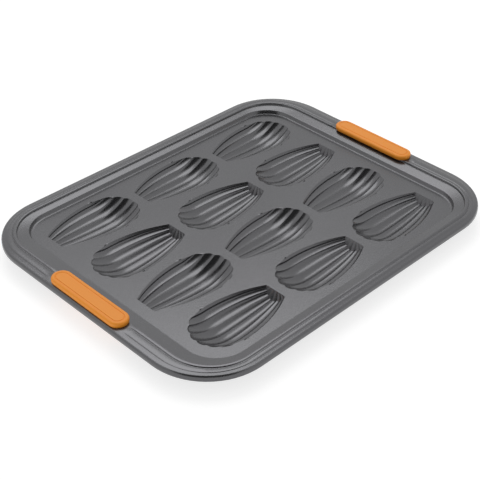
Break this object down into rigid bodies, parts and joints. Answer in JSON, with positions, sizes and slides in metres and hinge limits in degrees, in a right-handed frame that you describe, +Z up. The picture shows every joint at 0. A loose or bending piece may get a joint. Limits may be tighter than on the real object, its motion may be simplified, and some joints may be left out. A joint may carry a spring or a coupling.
{
  "type": "madeleine pan",
  "caption": "Coated steel baking tray with fluted shell shaped cups, a stepped rim and two silicone end grips.",
  "frame": {"origin": "centre of the footprint, at the lowest point of the cups", "axes": "+X along the length from grip to grip, +Y along the width, +Z up"},
  "size_m": [0.35, 0.275, 0.0224],
  "materials": {
    "coated_steel": "satin non-stick coating",
    "wire": "plain",
    "silicone": "soft matte"
  },
  "bodies": {
    "root": {"cup_a1": "coated_steel", "cup_a2": "coated_steel", "cup_a3": "coated_steel", "cup_b1": "coated_steel", "cup_b2": "coated_steel", "cup_b3": "coated_steel", "cup_c1": "coated_steel", "cup_c2": "coated_steel", "cup_c3": "coated_steel", "cup_d1": "coated_steel", "cup_d2": "coated_steel", "cup_d3": "coated_steel", "deck_border": "coated_steel", "rim": "coated_steel", "rim_wire": "wire", "grip_left": "silicone", "grip_right": "silicone"}
  },
  "joints": []
}
